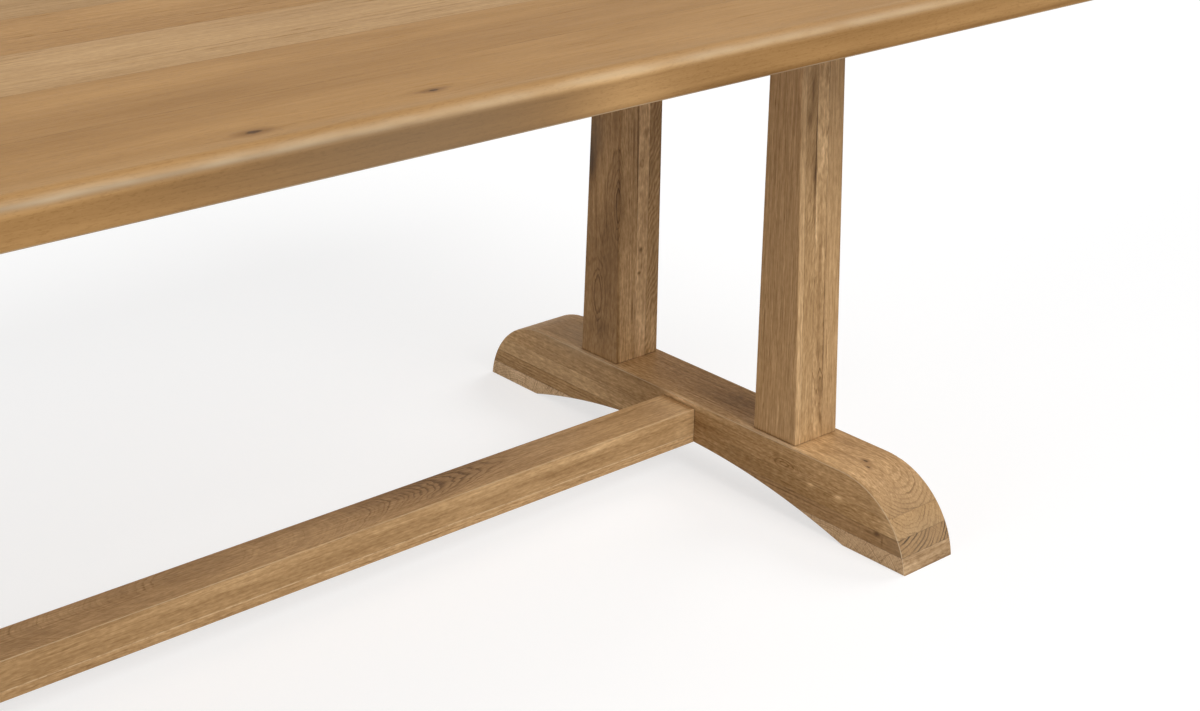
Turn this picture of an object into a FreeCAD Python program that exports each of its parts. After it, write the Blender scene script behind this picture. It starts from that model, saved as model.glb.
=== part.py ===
"""Solid oak trestle dining table, glued up from boards.

Millimetres. +X runs along the table, +Y towards its rear side, +Z up.
The origin is on the floor, under the centre of the tabletop.
"""
import FreeCAD, Part
import math
import os

# ---- Tabletop ---------------------------------------------------------------
TABLE_LENGTH = 2000.0
TABLE_WIDTH = 1000.0
TABLE_HEIGHT = 756.0
TOP_THICKNESS = 40.0
TOP_BOARD_COUNT = 8
TOP_ROUND = 13.0                 # round-over along the upper edge
TOP_CORNER_EXTRA = 3.0           # how much wider the corner turns than the round-over
TOP_LOWER_EASE = 2.0

# ---- Feet -------------------------------------------------------------------
TRESTLE_SETBACK = 330.0          # from the tabletop's end to a trestle's centre plane
FOOT_LENGTH = 823.0              # along the floor
FOOT_WIDTH = 90.0
FOOT_HEIGHT = 102.0
FOOT_END_RADIUS = 116.0
FOOT_PAD_LENGTH = 106.0          # flat length on the floor at each end
ARCH_RISE = 44.5
PAD_THICKNESS = 22.5
LOWER_BOARD_THICKNESS = 20.5
MIDDLE_BOARD_THICKNESS = 23.0    # the upper board takes the rest of the height

# ---- Posts ------------------------------------------------------------------
POST_GAP = 272.0                 # clear space between the two posts of a trestle
POST_WIDTH = 76.5
POST_DEPTH_AT_FOOT = 75.6
POST_DEPTH_AT_BEARER = 51.0
# Thickness of each post's boards, from its inner face; the outer board takes the rest.
FIRST_POST_FACING_BOARD = 9.6    # the post at the trestle's own -Y end
FIRST_POST_INNER_BOARD = 19.4
FIRST_POST_MIDDLE_BOARD = 20.0
SECOND_POST_INNER_BOARD = 34.2   # the post at its +Y end
SECOND_POST_MIDDLE_BOARD = 19.6

# ---- Bearers ----------------------------------------------------------------
BEARER_LENGTH = 780.0
BEARER_WIDTH = 90.0
BEARER_HEIGHT = 60.0
BEARER_END_RADIUS = 68.0
BEARER_LOWER_BOARD = 22.5

# ---- Stretcher --------------------------------------------------------------
STRETCHER_WIDTH = 62.7
STRETCHER_HEIGHT = 49.6
STRETCHER_LOWER_BOARD = 12.5

# ---- Joinery ----------------------------------------------------------------
FOOT_TENON_LENGTH = 50.0
BEARER_TENON_LENGTH = 38.0
TENON_SHOULDER = 11.0            # post wood left in front of and behind a tenon
MORTISE_CLEARANCE = 0.15
MORTISE_END_GAP = 2.0
DOWEL_DIAMETER = 10.0
DOWEL_LENGTH = 70.0
DOWEL_OFFSET = 20.0              # either side of the stretcher bolt
DOWEL_END_GAP = 1.5
DOWEL_CHAMFER = 1.0
HOLE_CLEARANCE = 0.1             # on the radius, round dowels, nuts and inserts

# ---- Fasteners --------------------------------------------------------------
BOLT_DIAMETER = 8.0
BOLT_HOLE_DIAMETER = 9.0
BOLT_HEAD_DIAMETER = 14.0
BOLT_HEAD_HEIGHT = 4.5
BOLT_HEAD_ROUND = 1.5
HEX_SOCKET_ACROSS_FLATS = 5.0
HEX_SOCKET_DEPTH = 3.0
THREAD_CLEARANCE = 0.1           # on the radius, between a bolt and its thread
WASHER_DIAMETER = 18.0
WASHER_THICKNESS = 1.6
WASHER_BORE_DIAMETER = 8.4
COUNTERBORE_DIAMETER = 20.0
STRETCHER_BOLT_BELOW_TOP = 16.0  # from the stretcher's upper face to the bolt
STRETCHER_BOLT_RECESS = 14.0
STRETCHER_BOLT_PAST_NUT = 6.0
BARREL_NUT_DIAMETER = 14.0
BARREL_NUT_LENGTH = 22.0
BARREL_NUT_SETBACK = 34.0        # from the stretcher's end to the nut
TOP_BOLT_RECESS = 24.0
TOP_BOLT_INNER_OFFSET = 80.0     # between the posts
TOP_BOLT_OUTER_OFFSET = 300.0    # outside the posts
INSERT_DIAMETER = 12.0
INSERT_LENGTH = 22.0
INSERT_HOLE_SPARE = 3.0
TOP_BOLT_SHORT_OF_INSERT = 3.0

# ---- Edges ------------------------------------------------------------------
EDGE_EASE = 1.5                  # the sanded arris of every long edge
SHOULDER_EASE = 0.7              # the sanded arris where a piece butts another

# ---- Heights and places worked out from the sizes above ---------------------
TRESTLE_X = TABLE_LENGTH / 2 - TRESTLE_SETBACK
TOP_UNDERSIDE = TABLE_HEIGHT - TOP_THICKNESS
BEARER_UNDERSIDE = TOP_UNDERSIDE - BEARER_HEIGHT
LOWER_BOARD_BOTTOM = PAD_THICKNESS
MIDDLE_BOARD_BOTTOM = LOWER_BOARD_BOTTOM + LOWER_BOARD_THICKNESS
UPPER_BOARD_BOTTOM = MIDDLE_BOARD_BOTTOM + MIDDLE_BOARD_THICKNESS
STRETCHER_BOTTOM = ARCH_RISE
STRETCHER_TOP = STRETCHER_BOTTOM + STRETCHER_HEIGHT
STRETCHER_BOLT_HEIGHT = STRETCHER_TOP - STRETCHER_BOLT_BELOW_TOP
STRETCHER_END = -FOOT_WIDTH / 2  # in the trestle's own frame
FOOT_OUTER_FACE = FOOT_WIDTH / 2
TOP_BOLT_OFFSETS = (-TOP_BOLT_OUTER_OFFSET, -TOP_BOLT_INNER_OFFSET,
                    TOP_BOLT_INNER_OFFSET, TOP_BOLT_OUTER_OFFSET)

FIRST_END = -1                   # a trestle's own -Y end
SECOND_END = 1                   # its +Y end
POST_BOARDS = {FIRST_END: {"facing": FIRST_POST_FACING_BOARD,
                           "inner": FIRST_POST_INNER_BOARD,
                           "middle": FIRST_POST_MIDDLE_BOARD},
               SECOND_END: {"inner": SECOND_POST_INNER_BOARD,
                            "middle": SECOND_POST_MIDDLE_BOARD}}
LEFT = -1
RIGHT = 1
SIDE_NAME = {LEFT: "left", RIGHT: "right"}

X_AXIS = FreeCAD.Vector(1, 0, 0)
Y_AXIS = FreeCAD.Vector(0, 1, 0)
Z_AXIS = FreeCAD.Vector(0, 0, 1)
ORIGIN = FreeCAD.Vector(0, 0, 0)
FLAT = 1e-6                      # an edge that keeps one coordinate this closely is flat


# ---- Helpers ----------------------------------------------------------------
def box(x_range, y_range, z_range):
    """A box between two values along each axis."""
    sizes = [high - low for low, high in (x_range, y_range, z_range)]
    corner = FreeCAD.Vector(x_range[0], y_range[0], z_range[0])
    return Part.makeBox(*sizes, corner)


def rod(start, direction, length, diameter):
    """A plain round bar from start along direction."""
    return Part.makeCylinder(diameter / 2, length, start, direction)


def ordered(first, second):
    """The two values as a (low, high) pair."""
    return min(first, second), max(first, second)


def slice_between(blank, axis, low, high):
    """The part of a blank between two planes square to one axis."""
    bounds = blank.BoundBox
    ranges = [(bounds.XMin - 1, bounds.XMax + 1),
              (bounds.YMin - 1, bounds.YMax + 1),
              (bounds.ZMin - 1, bounds.ZMax + 1)]
    ranges[axis] = (low, high)
    return blank.common(box(*ranges))


def extrude_side_profile(edges, width):
    """A bar with the outline of edges in the YZ plane, centred on X = 0."""
    wire = Part.Wire(edges)
    solid = Part.Face(wire).extrude(X_AXIS * width)
    solid.translate(X_AXIS * (-width / 2))
    return solid


def side_point(y, z):
    return FreeCAD.Vector(0, y, z)


def arc_between(start, middle, end):
    return Part.Arc(start, middle, end).toShape()


def line_between(start, end):
    return Part.LineSegment(start, end).toShape()


def side_edges(bar):
    """The edges that lie in a bar's two X faces."""
    return [edge for edge in bar.Edges if edge.BoundBox.XLength < FLAT]


def single_solid(shape):
    """The one solid of a cut or sliced shape, without its compound."""
    return Part.makeCompound(shape.Solids) if len(shape.Solids) > 1 else shape.Solids[0]


# ---- Tabletop ---------------------------------------------------------------
def top_blank():
    """The whole tabletop before it is split into boards."""
    slab = box((-TABLE_LENGTH / 2, TABLE_LENGTH / 2),
               (-TABLE_WIDTH / 2, TABLE_WIDTH / 2),
               (TOP_UNDERSIDE, TABLE_HEIGHT))
    upright = [edge for edge in slab.Edges if edge.BoundBox.ZLength > FLAT]
    slab = slab.makeFillet(TOP_ROUND + TOP_CORNER_EXTRA, upright)
    upper = [edge for edge in slab.Edges if edge.BoundBox.ZMin > TABLE_HEIGHT - FLAT]
    slab = slab.makeFillet(TOP_ROUND, upper)
    lower = [edge for edge in slab.Edges if edge.BoundBox.ZMax < TOP_UNDERSIDE + FLAT]
    return slab.makeFillet(TOP_LOWER_EASE, lower)


def top_boards():
    """The tabletop's boards from front to rear, drilled for the inserts."""
    blank = top_blank()
    for side in (LEFT, RIGHT):
        for y in TOP_BOLT_OFFSETS:
            start = FreeCAD.Vector(side * TRESTLE_X, y, TOP_UNDERSIDE)
            hole_diameter = INSERT_DIAMETER + 2 * HOLE_CLEARANCE
            blank = blank.cut(rod(start, Z_AXIS, INSERT_LENGTH + INSERT_HOLE_SPARE, hole_diameter))
    board_width = TABLE_WIDTH / TOP_BOARD_COUNT
    boards = {}
    for index in range(TOP_BOARD_COUNT):
        front = -TABLE_WIDTH / 2 + index * board_width
        boards[f"top_board_{index + 1}"] = slice_between(blank, 1, front, front + board_width)
    return boards


# ---- Rounded bars: the foot and the bearer ----------------------------------
def end_reach(radius, height):
    """How far a rounded end reaches past its arc's centre, at the far face."""
    return math.sqrt(radius ** 2 - (height - radius) ** 2)


def rounded_end(tip, shoulder, centre, radius):
    """The arc of a rounded end, from its tip on one face to its shoulder on the other."""
    tip_angle = math.atan2(tip.z - centre.z, tip.y - centre.y)
    shoulder_angle = math.atan2(shoulder.z - centre.z, shoulder.y - centre.y)
    if abs(tip_angle - shoulder_angle) > math.pi:
        tip_angle += math.copysign(2 * math.pi, shoulder_angle)
    angle = (tip_angle + shoulder_angle) / 2
    middle = centre + side_point(math.cos(angle), math.sin(angle)) * radius
    return arc_between(tip, middle, shoulder)


def rounded_bar_edges(length, height, radius, tip_height, direction):
    """Both end arcs and the shoulder face of a bar, and the two tips.

    direction is +1 where the rounded corners are above the tips, and -1 below them.
    """
    centre_offset = length / 2 - end_reach(radius, height)
    shoulder_height = tip_height + direction * height
    centre_height = shoulder_height - direction * radius
    tips = [side_point(sign * length / 2, tip_height) for sign in (-1, 1)]
    shoulders = [side_point(sign * centre_offset, shoulder_height) for sign in (-1, 1)]
    centres = [side_point(sign * centre_offset, centre_height) for sign in (-1, 1)]
    arcs = [rounded_end(tips[i], shoulders[i], centres[i], radius) for i in (0, 1)]
    return arcs + [line_between(*shoulders)], tips


def arch_drum():
    """What leaves the arch under the foot: a wide drum, flared to ease the arch's own edges."""
    half_span = FOOT_LENGTH / 2 - FOOT_PAD_LENGTH
    radius = (half_span ** 2 + ARCH_RISE ** 2) / (2 * ARCH_RISE)
    centre = FreeCAD.Vector(0, 0, ARCH_RISE - radius)
    drum = rod(centre - X_AXIS * (FOOT_WIDTH / 2), X_AXIS, FOOT_WIDTH, 2 * radius)
    for direction in (-X_AXIS, X_AXIS):
        start = centre + direction * (FOOT_WIDTH / 2 - EDGE_EASE)
        drum = drum.fuse(Part.makeCone(radius, radius + EDGE_EASE, EDGE_EASE, start, direction))
    return drum


def foot_blank():
    """The whole foot before its layers are split: rounded ends over an arch."""
    edges, tips = rounded_bar_edges(FOOT_LENGTH, FOOT_HEIGHT, FOOT_END_RADIUS, 0.0, 1)
    edges.append(line_between(*tips))
    bar = extrude_side_profile(Part.__sortEdges__(edges), FOOT_WIDTH)
    return bar.makeFillet(EDGE_EASE, side_edges(bar)).cut(arch_drum())


def bearer_blank():
    """The whole bearer: a straight bar with its lower corners rounded."""
    edges, tips = rounded_bar_edges(BEARER_LENGTH, BEARER_HEIGHT, BEARER_END_RADIUS, TOP_UNDERSIDE, -1)
    edges.append(line_between(*tips))
    bar = extrude_side_profile(Part.__sortEdges__(edges), BEARER_WIDTH)
    lower = [edge for edge in side_edges(bar) if edge.BoundBox.ZMin < TOP_UNDERSIDE - FLAT]
    return bar.makeFillet(EDGE_EASE, lower)


# ---- Posts ------------------------------------------------------------------
def post_y(end, distance):
    """The Y of a plane this far outside a post's inner face, at one end of a trestle."""
    return end * (POST_GAP / 2 + distance)


def post_blank(end):
    """One post before its boards are split: plumb inside, leaning in outside."""
    corners = [side_point(post_y(end, 0.0), FOOT_HEIGHT),
               side_point(post_y(end, POST_DEPTH_AT_FOOT), FOOT_HEIGHT),
               side_point(post_y(end, POST_DEPTH_AT_BEARER), BEARER_UNDERSIDE),
               side_point(post_y(end, 0.0), BEARER_UNDERSIDE)]
    edges = [line_between(corners[i - 1], corners[i]) for i in range(len(corners))]
    post = extrude_side_profile(Part.__sortEdges__(edges), POST_WIDTH)
    long_edges = [edge for edge in post.Edges if edge.BoundBox.ZLength > FLAT]
    post = post.makeFillet(EDGE_EASE, long_edges)
    end_edges = [edge for edge in post.Edges if edge.BoundBox.ZLength < FLAT]
    return post.makeChamfer(SHOULDER_EASE, end_edges)


def post_board_ranges(end):
    """Each board of a post with the X range that it fills, from the inner face out."""
    ranges = {}
    face = -POST_WIDTH / 2
    for board, thickness in POST_BOARDS[end].items():
        ranges[board] = (face, face + thickness)
        face += thickness
    ranges["outer"] = (face, POST_WIDTH / 2)
    return ranges


def tenon(end, depth, shoulder_height, tip_height, clearance=0.0):
    """A post's tenon, or with a clearance its mortise, between two heights."""
    low, high = post_board_ranges(end)["middle"]
    x_range = (low - clearance, high + clearance)
    faces = ordered(post_y(end, TENON_SHOULDER - clearance),
                    post_y(end, depth - TENON_SHOULDER + clearance))
    return box(x_range, faces, ordered(shoulder_height, tip_height))


def foot_mortise(end):
    floor = FOOT_HEIGHT - FOOT_TENON_LENGTH - MORTISE_END_GAP
    return tenon(end, POST_DEPTH_AT_FOOT, FOOT_HEIGHT, floor, MORTISE_CLEARANCE)


def bearer_mortise(end):
    ceiling = BEARER_UNDERSIDE + BEARER_TENON_LENGTH + MORTISE_END_GAP
    return tenon(end, POST_DEPTH_AT_BEARER, BEARER_UNDERSIDE, ceiling, MORTISE_CLEARANCE)


def post_boards(end):
    """Boards side by side; the middle one runs on as a tenon at both ends."""
    blank = post_blank(end)
    boards = {board: slice_between(blank, 0, *x_range)
              for board, x_range in post_board_ranges(end).items()}
    lower_tenon = tenon(end, POST_DEPTH_AT_FOOT,
                        FOOT_HEIGHT + SHOULDER_EASE, FOOT_HEIGHT - FOOT_TENON_LENGTH)
    upper_tenon = tenon(end, POST_DEPTH_AT_BEARER,
                        BEARER_UNDERSIDE - SHOULDER_EASE, BEARER_UNDERSIDE + BEARER_TENON_LENGTH)
    boards["middle"] = boards["middle"].fuse([lower_tenon, upper_tenon]).removeSplitter()
    return boards


# ---- Fasteners --------------------------------------------------------------
def socket_bolt(seat, direction, length):
    """A bolt with a round socket head. seat is under the head, direction along the shank."""
    head_top = seat - direction * BOLT_HEAD_HEIGHT
    head = rod(head_top, direction, BOLT_HEAD_HEIGHT, BOLT_HEAD_DIAMETER)
    rim = min(head.Edges, key=lambda edge: (edge.CenterOfMass - head_top).Length + edge_is_seam(edge))
    head = head.makeFillet(BOLT_HEAD_ROUND, [rim])
    bolt = head.fuse(rod(seat, direction, length, BOLT_DIAMETER))
    return bolt.cut(hex_prism(head_top, direction, HEX_SOCKET_DEPTH, HEX_SOCKET_ACROSS_FLATS))


def edge_is_seam(edge):
    """1 for a straight edge, so that a search for a rim passes over it."""
    return 0 if edge.isClosed() else 1


def hex_prism(start, direction, length, across_flats):
    """A hexagonal bar from start along direction."""
    corner_radius = across_flats / math.sqrt(3)
    sides = 6
    angles = [2 * math.pi * i / sides for i in range(sides + 1)]
    ring = [FreeCAD.Vector(math.cos(a), math.sin(a), 0) * corner_radius for a in angles]
    prism = Part.Face(Part.makePolygon(ring)).extrude(Z_AXIS * length)
    prism.Placement = FreeCAD.Placement(start, FreeCAD.Rotation(Z_AXIS, direction))
    return prism


def washer(seat, direction):
    """A washer lying on seat, with direction pointing away from it."""
    disc = rod(seat, direction, WASHER_THICKNESS, WASHER_DIAMETER)
    return disc.cut(rod(seat, direction, WASHER_THICKNESS, WASHER_BORE_DIAMETER))


def stretcher_axis_point(x, y=0.0):
    return FreeCAD.Vector(x, y, STRETCHER_BOLT_HEIGHT)


def stretcher_bolt_seat():
    """The floor of the counterbore in the foot's outer face."""
    return stretcher_axis_point(FOOT_OUTER_FACE - STRETCHER_BOLT_RECESS)


def barrel_nut_centre():
    return stretcher_axis_point(STRETCHER_END - BARREL_NUT_SETBACK)


def stretcher_bolt():
    seat = stretcher_bolt_seat() + X_AXIS * WASHER_THICKNESS
    length = (seat - barrel_nut_centre()).Length + BARREL_NUT_DIAMETER / 2 + STRETCHER_BOLT_PAST_NUT
    return socket_bolt(seat, -X_AXIS, length)


def barrel_nut():
    centre = barrel_nut_centre()
    body = rod(centre - Z_AXIS * (BARREL_NUT_LENGTH / 2), Z_AXIS, BARREL_NUT_LENGTH, BARREL_NUT_DIAMETER)
    thread_start = centre - X_AXIS * BARREL_NUT_DIAMETER
    return body.cut(rod(thread_start, X_AXIS, 2 * BARREL_NUT_DIAMETER, BOLT_DIAMETER + 2 * THREAD_CLEARANCE))


def stretcher_dowels():
    dowels = []
    for side in (-1, 1):
        start = stretcher_axis_point(STRETCHER_END - DOWEL_LENGTH / 2, side * DOWEL_OFFSET)
        dowel = rod(start, X_AXIS, DOWEL_LENGTH, DOWEL_DIAMETER)
        rims = [edge for edge in dowel.Edges if edge.isClosed()]
        dowels.append(dowel.makeChamfer(DOWEL_CHAMFER, rims))
    return Part.makeCompound(dowels)


def stretcher_fixing_holes():
    """What the stretcher's joint removes from the foot and from the stretcher."""
    seat = stretcher_bolt_seat()
    counterbore = rod(seat, X_AXIS, STRETCHER_BOLT_RECESS, COUNTERBORE_DIAMETER)
    bolt_end = barrel_nut_centre() - X_AXIS * (BARREL_NUT_DIAMETER / 2 + 2 * STRETCHER_BOLT_PAST_NUT)
    bolt_hole = rod(bolt_end, X_AXIS, (seat - bolt_end).Length, BOLT_HOLE_DIAMETER)
    nut_diameter = BARREL_NUT_DIAMETER + 2 * HOLE_CLEARANCE
    nut_mouth = FreeCAD.Vector(barrel_nut_centre().x, 0, STRETCHER_BOTTOM)
    nut_depth = STRETCHER_BOLT_HEIGHT + BARREL_NUT_LENGTH / 2 + HOLE_CLEARANCE - STRETCHER_BOTTOM
    holes = [counterbore, bolt_hole, rod(nut_mouth, Z_AXIS, nut_depth, nut_diameter)]
    dowel_hole_start = STRETCHER_END - DOWEL_LENGTH / 2 - DOWEL_END_GAP
    dowel_hole_length = DOWEL_LENGTH + 2 * DOWEL_END_GAP
    dowel_hole_diameter = DOWEL_DIAMETER + 2 * HOLE_CLEARANCE
    for side in (-1, 1):
        start = stretcher_axis_point(dowel_hole_start, side * DOWEL_OFFSET)
        holes.append(rod(start, X_AXIS, dowel_hole_length, dowel_hole_diameter))
    return Part.makeCompound(holes)


def top_bolt_places():
    """The floor of each counterbore in the bearer's underside."""
    return [FreeCAD.Vector(0, y, BEARER_UNDERSIDE + TOP_BOLT_RECESS) for y in TOP_BOLT_OFFSETS]


def top_bolt(place):
    seat = place - Z_AXIS * WASHER_THICKNESS
    tip_height = TOP_UNDERSIDE + INSERT_LENGTH - TOP_BOLT_SHORT_OF_INSERT
    return socket_bolt(seat, Z_AXIS, tip_height - seat.z)


def threaded_insert(place):
    start = FreeCAD.Vector(place.x, place.y, TOP_UNDERSIDE)
    body = rod(start, Z_AXIS, INSERT_LENGTH, INSERT_DIAMETER)
    return body.cut(rod(start, Z_AXIS, INSERT_LENGTH, BOLT_DIAMETER + 2 * THREAD_CLEARANCE))


def top_fixing_holes():
    """What the tabletop's bolts remove from the bearer."""
    holes = []
    for place in top_bolt_places():
        holes.append(rod(place - Z_AXIS * TOP_BOLT_RECESS, Z_AXIS, TOP_BOLT_RECESS, COUNTERBORE_DIAMETER))
        holes.append(rod(place, Z_AXIS, TOP_UNDERSIDE - place.z, BOLT_HOLE_DIAMETER))
    return Part.makeCompound(holes)


# ---- One trestle, in its own frame: its inner face looks along -X ------------
def foot_boards(end_names):
    blank = foot_blank().cut([foot_mortise(FIRST_END), foot_mortise(SECOND_END), stretcher_fixing_holes()])
    boards = {"foot_upper_board": slice_between(blank, 2, UPPER_BOARD_BOTTOM, FOOT_HEIGHT),
              "foot_middle_board": slice_between(blank, 2, MIDDLE_BOARD_BOTTOM, UPPER_BOARD_BOTTOM)}
    lower = slice_between(blank, 2, LOWER_BOARD_BOTTOM, MIDDLE_BOARD_BOTTOM)
    pad = slice_between(blank, 2, 0.0, LOWER_BOARD_BOTTOM)
    for end in (FIRST_END, SECOND_END):
        half = ordered(0.0, end * FOOT_LENGTH)
        boards[f"{end_names[end]}_foot_lower_board"] = slice_between(lower, 1, *half)
        boards[f"{end_names[end]}_foot_pad"] = slice_between(pad, 1, *half)
    return boards


def bearer_boards():
    cuts = [bearer_mortise(FIRST_END), bearer_mortise(SECOND_END), top_fixing_holes()]
    blank = bearer_blank().cut(cuts)
    joint = BEARER_UNDERSIDE + BEARER_LOWER_BOARD
    return {"bearer_upper_board": slice_between(blank, 2, joint, TOP_UNDERSIDE),
            "bearer_lower_board": slice_between(blank, 2, BEARER_UNDERSIDE, joint)}


def trestle_fasteners():
    places = top_bolt_places()
    return {"stretcher_bolt": stretcher_bolt(),
            "stretcher_bolt_washer": washer(stretcher_bolt_seat(), X_AXIS),
            "stretcher_barrel_nut": barrel_nut(),
            "stretcher_dowels": stretcher_dowels(),
            "top_bolts": Part.makeCompound([top_bolt(place) for place in places]),
            "top_bolt_washers": Part.makeCompound([washer(place, -Z_AXIS) for place in places]),
            "top_inserts": Part.makeCompound([threaded_insert(place) for place in places])}


def trestle(side):
    """Every piece of one trestle, in place. Both trestles are the same, half a turn apart."""
    end_names = {end: "front" if end * side == FIRST_END else "rear" for end in (FIRST_END, SECOND_END)}
    pieces = {**foot_boards(end_names), **bearer_boards(), **trestle_fasteners()}
    for end in (FIRST_END, SECOND_END):
        for board, shape in post_boards(end).items():
            pieces[f"{end_names[end]}_post_{board}_board"] = shape
    return {f"{SIDE_NAME[side]}_{name}": put_trestle_in_place(shape, side) for name, shape in pieces.items()}


def put_trestle_in_place(shape, side):
    placed = shape.copy()
    if side == LEFT:
        placed.rotate(ORIGIN, Z_AXIS, 180)
    placed.translate(X_AXIS * (side * TRESTLE_X))
    return placed


# ---- Stretcher --------------------------------------------------------------
def stretcher_blank():
    half_length = TRESTLE_X - FOOT_WIDTH / 2
    bar = box((-half_length, half_length),
              (-STRETCHER_WIDTH / 2, STRETCHER_WIDTH / 2),
              (STRETCHER_BOTTOM, STRETCHER_TOP))
    long_edges = [edge for edge in bar.Edges if edge.BoundBox.XLength > FLAT]
    bar = bar.makeFillet(EDGE_EASE, long_edges)
    end_edges = [edge for edge in bar.Edges if edge.BoundBox.XLength < FLAT]
    return bar.makeChamfer(SHOULDER_EASE, end_edges)


def stretcher_boards():
    blank = stretcher_blank()
    for side in (LEFT, RIGHT):
        blank = blank.cut(put_trestle_in_place(stretcher_fixing_holes(), side))
    joint = STRETCHER_BOTTOM + STRETCHER_LOWER_BOARD
    return {"stretcher_upper_board": slice_between(blank, 2, joint, STRETCHER_TOP),
            "stretcher_lower_board": slice_between(blank, 2, STRETCHER_BOTTOM, joint)}


# ---- Output -----------------------------------------------------------------
def main():
    os.makedirs("parts", exist_ok=True)
    pieces = {**top_boards(), **stretcher_boards(), **trestle(LEFT), **trestle(RIGHT)}
    for name, shape in pieces.items():
        single_solid(shape).exportStep(os.path.join("parts", name + ".step"))
    print(len(pieces), "nodes")


main()
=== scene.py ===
"""Solid oak trestle dining table: finishes, lamps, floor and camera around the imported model."""
import itertools
import math
import random
from dataclasses import dataclass, field

import bpy
from mathutils import Euler, Matrix, Vector


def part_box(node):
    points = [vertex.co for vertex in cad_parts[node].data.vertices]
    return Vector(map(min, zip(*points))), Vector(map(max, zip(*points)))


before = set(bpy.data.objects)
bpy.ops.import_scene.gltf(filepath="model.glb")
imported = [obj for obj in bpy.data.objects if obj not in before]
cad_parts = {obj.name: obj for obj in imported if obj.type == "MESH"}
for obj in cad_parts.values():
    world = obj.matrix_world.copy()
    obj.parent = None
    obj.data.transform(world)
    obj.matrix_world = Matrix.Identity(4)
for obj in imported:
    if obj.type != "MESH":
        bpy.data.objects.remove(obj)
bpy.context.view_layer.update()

MM = 0.001

# ---- Camera: a long lens at the front left, looking down on the right-hand trestle --
CAMERA_PLACE = Vector((-1.1059, -1.8093, 1.2214))
CAMERA_HEADING = 0.8507          # radians from +X towards +Y
CAMERA_DIP = 0.4011              # radians below the horizon
CAMERA_ROLL = 0.0127
CAMERA_SENSOR = 36.0             # mm
CAMERA_LENS = 60.55              # mm
CAMERA_NEAR = 0.05               # it sees nothing nearer, or past the next
CAMERA_FAR = 100.0

# ---- Room -----------------------------------------------------------------------
FLOOR_HALF = 14.0                # from its middle to a side
FLOOR_SHADE = 0.80               # what the floor throws back on the table
FLOOR_SEEN_SHADE = 0.38          # what the camera sees of it, under the glow
FLOOR_GLOW = 0.66                # a light of its own, for the camera alone
DOME_LEVEL = 0.25                # a level of 1 shows a colour as it is written
LAMP_SOFTNESS = math.radians(35)
# Each lamp: degrees round from the front, degrees up, level.
LAMPS = {"front": (0, 40, 0.62),
         "right": (90, 40, 0.35),
         "left": (-90, 15, 0.36)}
WHITE = (1.0, 1.0, 1.0, 1.0)

# ---- Wood -----------------------------------------------------------------------
DARKENING = (0.85, 1.00, 1.25)   # how fast red, green and blue go as the oak darkens
# The oak's tones, as they are picked on a screen.
TONES = {"straw": (190, 154, 110),
         "honey": (178, 142, 98),
         "sand": (172, 141, 104),
         "biscuit": (167, 132, 89),
         "tan": (158, 123, 80),
         "umber": (146, 112, 72),
         "amber": (166, 126, 78)}

# Each layer's noise: features in a metre along the grain and across it, detail, roughness.
LAYERS = {"warp": (4.0, 20.0, 2.0, 0.5),         # slow bends of the rings
          "shake": (26.0, 110.0, 3.0, 0.5),      # small ones
          "clear": (5.0, 26.0, 2.0, 0.5),        # where the rings show plainly
          "fibre": (14.0, 430.0, 2.0, 0.6),
          "pores": (40.0, 900.0, 1.0, 0.5),
          "streak": (5.5, 150.0, 4.0, 0.62),
          "dash": (100.0, 340.0, 1.0, 0.6),      # short dark flecks
          "blotch": (3.0, 17.0, 2.0, 0.5),
          "bend": (22.0, 60.0, 2.0, 0.5),        # turns the bars of curly grain
          "strong": (14.0, 50.0, 2.0, 0.5),      # where those bars, and the wear and painted highlight of rounded edges, are strong
          "knot": (70.0, 190.0, 3.0, 0.5),       # the rim of a knot
          "mark": (22.0, 150.0, 3.0, 0.5),       # the rim of a stain
          "joint": (130.0, 130.0, 2.0, 0.5),     # breaks in a glue line
          "zinc": (300.0, 300.0, 3.0, 0.5)}      # clouds in the zinc plate
# Where a noise starts to count and where it counts in full. A noise lies about zero.
MASKS = {"clear": (-0.10, 0.12), "pores": (0.05, 0.15), "rays": (0.05, 0.16),
         "strong": (-0.16, 0.14), "joint": (-0.14, 0.06), "zinc": (-0.2, 0.2)}
SEED_STEPS = (3.71, 1.37, 2.13)  # metres that a seed of 1 moves the wood, on each axis
HEART_BENDS = 1.3                # of the tree's centre, in a metre
UNEVEN_RATE = 0.45               # how fast wide and narrow rings take turns, for each ring
UNEVEN_RINGS = 1.7               # and how many rings that shifts them
FIGURE_RATE = 0.33               # how fast broad pale and dark bands change, for each ring
FIGURE_BENDS = 1.6               # and in a metre along the grain
FIGURE_DETAIL = 4.0
FIGURE_ROUGHNESS = 0.62
EARLY_START = (0.0, 0.12)        # the porous wood's part of a ring
EARLY_STOP = (0.14, 0.55)
FAINTEST_RING = 0.3
MARKED_RING = 0.5                # least strength of a ring, for a contrast of 1
PORE_SHARE = (0.2, 1.1)          # how strong pores are out of the porous wood, and in it
LEAST_CLEAR = 0.25               # what is left of a ring, a curl and a glue line where they fade
LEAST_CURL = 0.2
LEAST_LINE = 0.3
BEND_STRENGTH = 3.4              # how far the bars of curly grain turn
RAY_LENGTH = 170.0               # rays in a metre along the grain
RAY_DEPTH = 42.0                 # and outwards
END_GRAIN = (0.25, 0.80)         # how squarely a face cuts the grain, to show as its end
END_DASH_LOSS = 0.8              # how much of the flecks is lost there
RUB_AND_HIGHLIGHT_PEAK = 11.5                  # brings the rub and painted highlight of a rounded edge to about 1 at its most
RUB_AND_HIGHLIGHT_SHARE = (0.65, 1.10)         # how strong it is in weak and strong places
EARLY_MEAN = 0.13                # the means of three layers, taken off to keep the tone
PORE_MEAN = 0.05
RAY_MEAN = 0.2
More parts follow.
